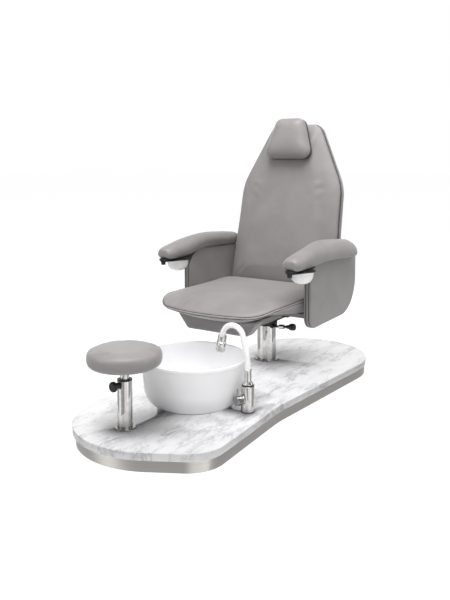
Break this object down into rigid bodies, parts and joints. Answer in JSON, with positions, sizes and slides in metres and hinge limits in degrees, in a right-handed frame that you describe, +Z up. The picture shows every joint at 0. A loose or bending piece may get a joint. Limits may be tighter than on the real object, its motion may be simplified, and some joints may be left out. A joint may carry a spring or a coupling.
{
  "type": "podiatry chair",
  "caption": "Upholstered swivel treatment chair with folding hand bowls, on a marble-topped platform with a foot bowl, a gooseneck tap and a round padded footrest on a post.",
  "frame": {"origin": "on the floor under the axis of the chair's column, on the underside of the base board", "axes": "+Z up, the chair faces -Y along the platform's length, +X is the sitter's left"},
  "size_m": [0.7799, 1.6257, 1.2058],
  "materials": {
    "marble": "polished white marble with soft grey veins",
    "brushed_steel": "brushed upright",
    "chrome": "bright plated",
    "upholstery": "matte warm grey leatherette over foam",
    "black_plastic": "fine matte",
    "black_steel": "black powder coat",
    "white_ceramic": "gloss white glaze",
    "white_plastic": "gloss white",
    "rubber": "black seal",
    "plywood": "plain board, hidden"
  },
  "bodies": {
    "platform": {"base_board": "plywood", "plinth_band": "brushed_steel", "platform_core": "plywood", "marble_slab": "marble", "column_flange": "chrome", "column_tube": "chrome", "column_bush": "black_plastic", "column_set_screw": "black_steel", "foot_bowl": "white_ceramic", "bowl_gasket": "rubber", "bowl_waste": "chrome", "waste_nut": "brushed_steel", "tap_seal": "rubber", "tap_body": "chrome", "tap_nut": "brushed_steel", "tap_ring": "black_plastic", "footrest_flange": "chrome", "footrest_post": "chrome", "footrest_bush": "black_plastic", "clamp_boss": "black_plastic"},
    "lift": {"column_piston": "chrome"},
    "seat": {"seat_hub": "black_steel", "mechanism_plate": "black_steel", "support_arm_left": "black_steel", "support_arm_right": "black_steel", "lever_clevis": "black_steel", "seat_board": "plywood", "seat_cushion": "upholstery", "seat_apron": "upholstery", "arm_panel_left": "upholstery", "arm_panel_right": "upholstery", "arm_pad_left": "upholstery", "arm_pad_right": "upholstery", "bowl_tray_left": "black_plastic", "bowl_tray_right": "black_plastic", "hinge_plate_left": "brushed_steel", "hinge_plate_right": "brushed_steel", "hinge_rod": "brushed_steel"},
    "lever": {"lever_rod": "chrome", "lever_knob": "black_plastic"},
    "back": {"back_shell": "upholstery", "back_cushion": "upholstery", "hinge_leaf_left": "brushed_steel", "hinge_leaf_right": "brushed_steel"},
    "pillow": {"head_pillow": "upholstery"},
    "left_hand_bowl": {"bowl_carrier_left": "black_plastic", "hand_bowl_left": "white_plastic"},
    "right_hand_bowl": {"bowl_carrier_right": "black_plastic", "hand_bowl_right": "white_plastic"},
    "footrest_lift": {"footrest_stem": "chrome"},
    "footrest_top": {"footrest_plate": "black_steel", "footrest_pad": "upholstery"},
    "clamp": {"clamp_knob": "black_plastic"},
    "spout_swivel": {"spout_collar": "chrome", "spout": "white_plastic"},
    "spray": {"spray_head": "chrome", "spray_nozzle": "black_plastic"},
    "mixer": {"mixer_cap": "chrome", "mixer_pin": "chrome"},
    "plug": {"waste_plug": "chrome"}
  },
  "joints": [
    {"name": "seat_lift", "type": "slide", "parent": "platform", "child": "lift", "axis": [0, 0, 1], "range_m": [0, 0.12]},
    {"name": "seat_swivel", "type": "hinge", "parent": "lift", "child": "seat", "pos_m": [0, 0, 0.2343], "axis": [0, 0, 1], "continuous": true},
    {"name": "back_recline", "type": "hinge", "parent": "seat", "child": "back", "pos_m": [0, 0.1313, 0.335], "axis": [-1, 0, 0], "range_deg": [0, 40]},
    {"name": "pillow_slide", "type": "slide", "parent": "back", "child": "pillow", "axis": [0, 0.213, 0.977], "range_m": [-0.08, 0]},
    {"name": "lift_lever", "type": "hinge", "parent": "seat", "child": "lever", "pos_m": [0.055, -0.0453, 0.2373], "axis": [0, -1, 0], "range_deg": [0, 14], "stiffness_Nm_per_rad": 1},
    {"name": "left_bowl_swing", "type": "hinge", "parent": "seat", "child": "left_hand_bowl", "pos_m": [0.318, -0.377, 0.552], "axis": [0, 0, -1], "range_deg": [0, 110]},
    {"name": "right_bowl_swing", "type": "hinge", "parent": "seat", "child": "right_hand_bowl", "pos_m": [-0.318, -0.377, 0.552], "axis": [0, 0, 1], "range_deg": [0, 110]},
    {"name": "footrest_height", "type": "slide", "parent": "platform", "child": "footrest_lift", "axis": [0, 0, 1], "range_m": [0, 0.1]},
    {"name": "footrest_swivel", "type": "hinge", "parent": "footrest_lift", "child": "footrest_top", "pos_m": [0, -1.008, 0.2699], "axis": [0, 0, 1], "continuous": true},
    {"name": "clamp_turn", "type": "hinge", "parent": "platform", "child": "clamp", "pos_m": [0, -1.008, 0.2231], "axis": [-0.2079, -0.9781, 0], "range_deg": [0, 360]},
    {"name": "spout_turn", "type": "hinge", "parent": "platform", "child": "spout_swivel", "pos_m": [0.2834, -0.642, 0.1712], "axis": [0, 0, 1], "range_deg": [-90, 90]},
    {"name": "spray_twist", "type": "hinge", "parent": "spout_swivel", "child": "spray", "pos_m": [0.1713, -0.642, 0.3412], "axis": [0.1822, 0, 0.9833], "range_deg": [0, 90]},
    {"name": "mixer_turn", "type": "hinge", "parent": "platform", "child": "mixer", "pos_m": [0.2834, -0.642, 0.1166], "axis": [0.3746, 0.9272, 0], "range_deg": [-5, 60]},
    {"name": "plug_lift", "type": "slide", "parent": "platform", "child": "plug", "axis": [0, 0, 1], "range_m": [0, 0.01]}
  ]
}
